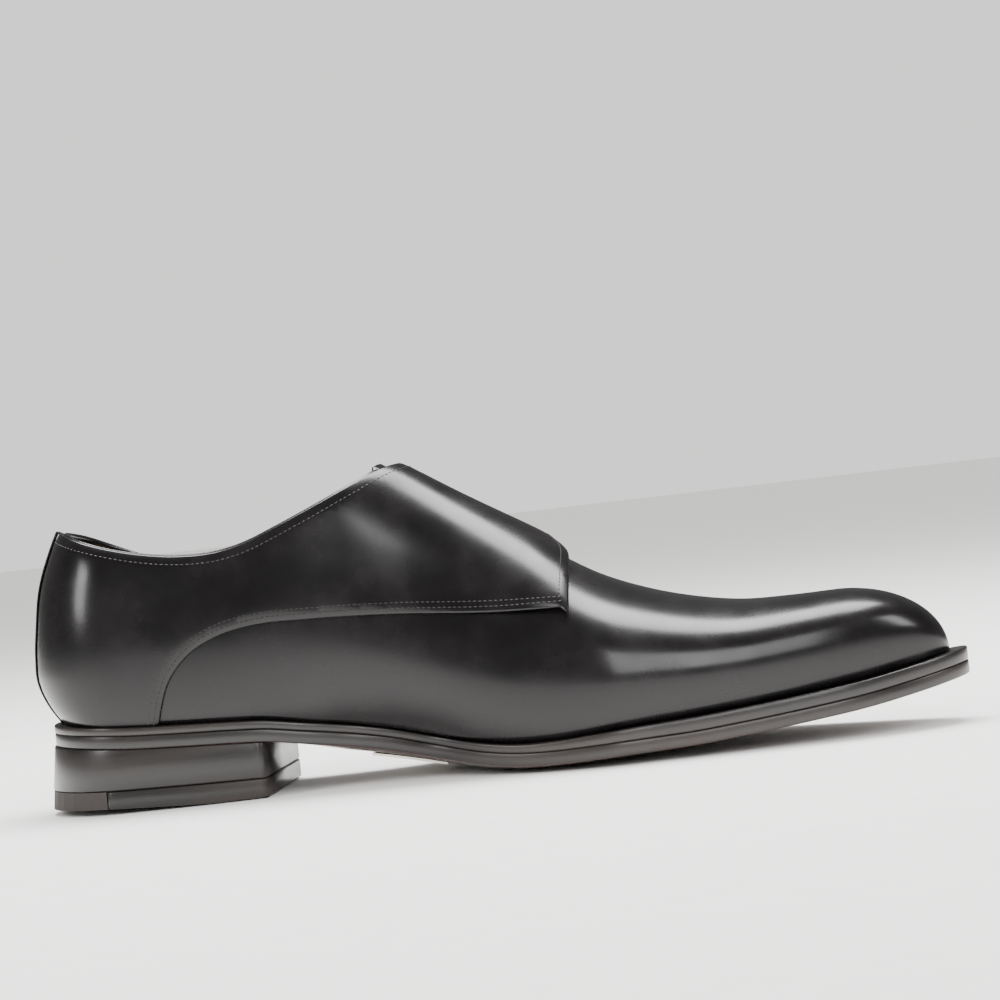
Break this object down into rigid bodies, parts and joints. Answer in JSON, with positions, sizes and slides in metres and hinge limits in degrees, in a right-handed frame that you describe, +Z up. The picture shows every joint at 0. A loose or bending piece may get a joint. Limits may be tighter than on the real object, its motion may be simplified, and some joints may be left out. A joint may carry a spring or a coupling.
{
  "type": "monk strap shoe",
  "caption": "Left double monk strap shoe in black calf, with buckled straps over the instep, a slim leather sole and a stacked heel.",
  "frame": {"origin": "on the floor, in the middle of the flat part of the heel's foot", "axes": "+X to the toe, +Y to the outer (lateral) side, +Z up"},
  "size_m": [0.3058, 0.1016, 0.1029],
  "materials": {
    "upper_calf": "polished smooth calf, near black with a warm tint",
    "edge_leather": "waxed sole and heel edge",
    "sole_leather": "stained and burnished sole leather",
    "lining_leather": "plain tan lining leather",
    "heel_rubber": "smooth dark heel rubber",
    "nickel": "polished nickel plate"
  },
  "bodies": {
    "root": {"upper": "upper_calf", "strap_quarter": "upper_calf", "tongue": "upper_calf", "back_strip": "upper_calf", "insole": "lining_leather", "welt": "edge_leather", "outsole": "sole_leather", "heel_lift_1": "edge_leather", "heel_lift_2": "edge_leather", "heel_lift_3": "edge_leather", "top_piece_rubber": "heel_rubber", "top_piece_leather": "edge_leather", "waist_plate": "nickel", "buckle_frame_rear": "nickel", "buckle_prong_rear": "nickel", "buckle_tab_rear": "upper_calf", "buckle_frame_front": "nickel", "buckle_prong_front": "nickel", "buckle_tab_front": "upper_calf"}
  },
  "joints": []
}
